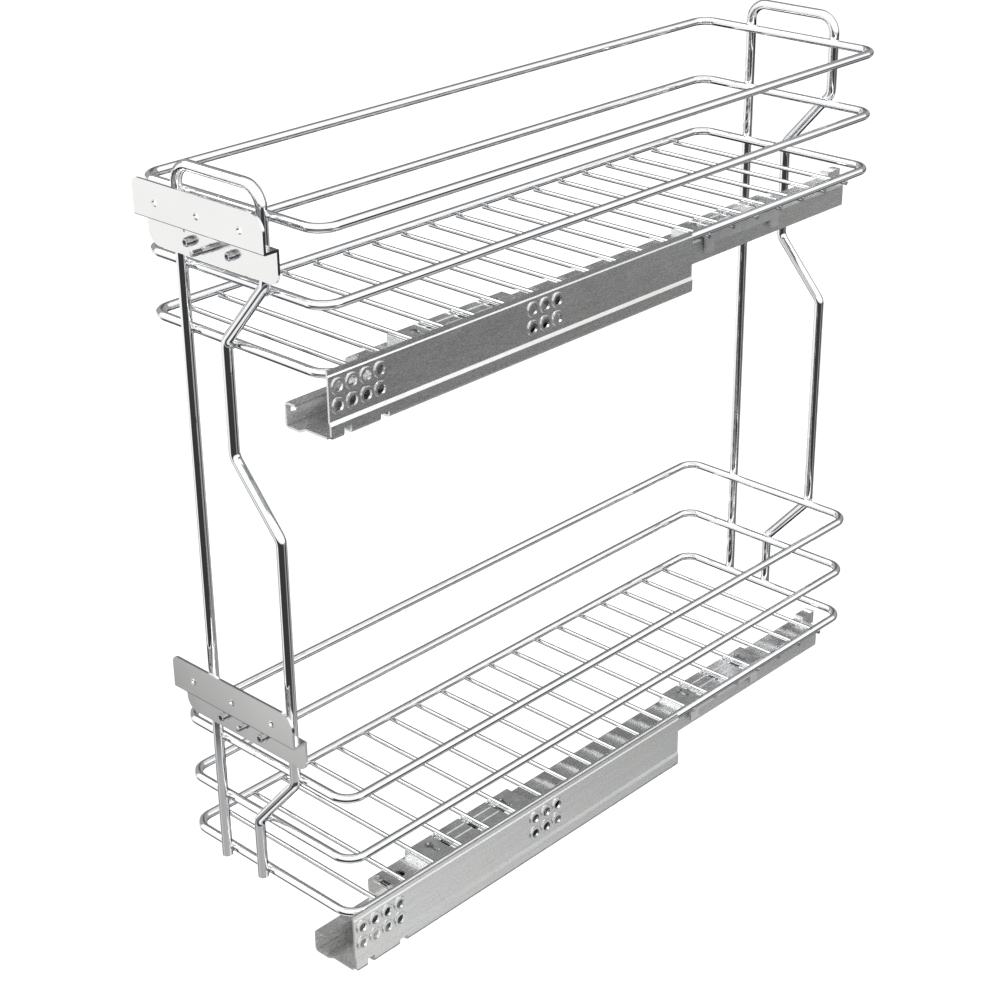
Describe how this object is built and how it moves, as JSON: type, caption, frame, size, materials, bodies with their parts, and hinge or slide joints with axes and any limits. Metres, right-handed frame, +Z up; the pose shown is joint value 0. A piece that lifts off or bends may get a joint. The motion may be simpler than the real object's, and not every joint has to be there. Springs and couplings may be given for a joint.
{
  "type": "pull out cabinet basket",
  "caption": "Narrow pull-out kitchen basket unit: chromed wire baskets on bent-rod frames, door brackets in front, full-extension slides screwed to one side wall.",
  "frame": {"origin": "middle of the lower cabinet rail's front screw group, on the plane of the collars that bear on the cabinet's side wall", "axes": "+X out of the unit into the side wall it screws to, +Y towards the cabinet's back, +Z up; the door side faces -Y"},
  "size_m": [0.1449, 0.4923, 0.442],
  "materials": {
    "chrome": "bright chrome plating on steel wire",
    "nickel_plate": "satin nickel plating on bent sheet",
    "zinc_plate": "satin zinc plating",
    "zinc_screw": "bright zinc plating",
    "galvanised": "galvanised rolled sheet, fine grain",
    "roller_steel": "ground steel",
    "dark_nylon": "moulded dark grey nylon",
    "white_acetal": "moulded natural acetal"
  },
  "bodies": {
    "cabinet_rails": {"upper_cabinet_rail": "galvanised", "upper_damper_housing": "dark_nylon", "upper_damper_cylinder": "roller_steel", "upper_rail_stop": "dark_nylon", "lower_cabinet_rail": "galvanised", "lower_damper_housing": "dark_nylon", "lower_damper_cylinder": "roller_steel", "lower_rail_stop": "dark_nylon"},
    "pullout": {"upper_top_rim": "chrome", "upper_middle_rim": "chrome", "upper_base_rim": "chrome", "upper_floor_wires": "chrome", "lower_top_rim": "chrome", "lower_middle_rim": "chrome", "lower_base_rim": "chrome", "lower_floor_wires": "chrome", "front_frame": "chrome", "back_frame": "chrome", "upper_carrier_plate": "zinc_plate", "lower_carrier_plate": "zinc_plate", "upper_door_bracket": "nickel_plate", "lower_door_bracket": "nickel_plate", "upper_bracket_screws": "zinc_screw", "lower_bracket_screws": "zinc_screw", "upper_clamp_stud": "zinc_screw", "lower_clamp_stud": "zinc_screw", "upper_bracket_nuts": "zinc_screw", "lower_bracket_nuts": "zinc_screw", "upper_front_adaptor": "zinc_plate", "upper_rear_adaptor": "zinc_plate", "lower_front_adaptor": "zinc_plate", "lower_rear_adaptor": "zinc_plate", "upper_runner": "galvanised", "lower_runner": "galvanised", "upper_rear_hook": "zinc_plate", "lower_rear_hook": "zinc_plate"},
    "upper_middle": {"upper_slide_middle_rail": "galvanised"},
    "upper_bottom_rollers_run": {"upper_slide_bottom_cage": "white_acetal", "upper_slide_bottom_rollers": "roller_steel"},
    "upper_top_rollers_run": {"upper_slide_top_cage": "white_acetal", "upper_slide_top_rollers": "roller_steel"},
    "upper_soft_close": {"upper_damper_piston": "roller_steel", "upper_damper_catch": "white_acetal"},
    "lower_middle": {"lower_slide_middle_rail": "galvanised"},
    "lower_bottom_rollers_run": {"lower_slide_bottom_cage": "white_acetal", "lower_slide_bottom_rollers": "roller_steel"},
    "lower_top_rollers_run": {"lower_slide_top_cage": "white_acetal", "lower_slide_top_rollers": "roller_steel"},
    "lower_soft_close": {"lower_damper_piston": "roller_steel", "lower_damper_catch": "white_acetal"}
  },
  "joints": [
    {"name": "pullout_slide", "type": "slide", "parent": "cabinet_rails", "child": "pullout", "axis": [0, -1, 0], "range_m": [0, 0.4]},
    {"name": "upper_middle_slide", "type": "slide", "parent": "cabinet_rails", "child": "upper_middle", "axis": [0, -1, 0], "range_m": [0, 0.2]},
    {"name": "upper_bottom_rollers_slide", "type": "slide", "parent": "cabinet_rails", "child": "upper_bottom_rollers_run", "axis": [0, -1, 0], "range_m": [0, 0.1]},
    {"name": "upper_top_rollers_slide", "type": "slide", "parent": "cabinet_rails", "child": "upper_top_rollers_run", "axis": [0, -1, 0], "range_m": [0, 0.3]},
    {"name": "upper_soft_close_slide", "type": "slide", "parent": "cabinet_rails", "child": "upper_soft_close", "axis": [0, -1, 0], "range_m": [0, 0.045]},
    {"name": "lower_middle_slide", "type": "slide", "parent": "cabinet_rails", "child": "lower_middle", "axis": [0, -1, 0], "range_m": [0, 0.2]},
    {"name": "lower_bottom_rollers_slide", "type": "slide", "parent": "cabinet_rails", "child": "lower_bottom_rollers_run", "axis": [0, -1, 0], "range_m": [0, 0.1]},
    {"name": "lower_top_rollers_slide", "type": "slide", "parent": "cabinet_rails", "child": "lower_top_rollers_run", "axis": [0, -1, 0], "range_m": [0, 0.3]},
    {"name": "lower_soft_close_slide", "type": "slide", "parent": "cabinet_rails", "child": "lower_soft_close", "axis": [0, -1, 0], "range_m": [0, 0.045]}
  ],
  "couplings": [
    {"joint": "upper_middle_slide", "follows": "pullout_slide", "ratio": 0.5},
    {"joint": "upper_bottom_rollers_slide", "follows": "pullout_slide", "ratio": 0.25},
    {"joint": "upper_top_rollers_slide", "follows": "pullout_slide", "ratio": 0.75},
    {"joint": "lower_middle_slide", "follows": "pullout_slide", "ratio": 0.5},
    {"joint": "lower_bottom_rollers_slide", "follows": "pullout_slide", "ratio": 0.25},
    {"joint": "lower_top_rollers_slide", "follows": "pullout_slide", "ratio": 0.75}
  ]
}
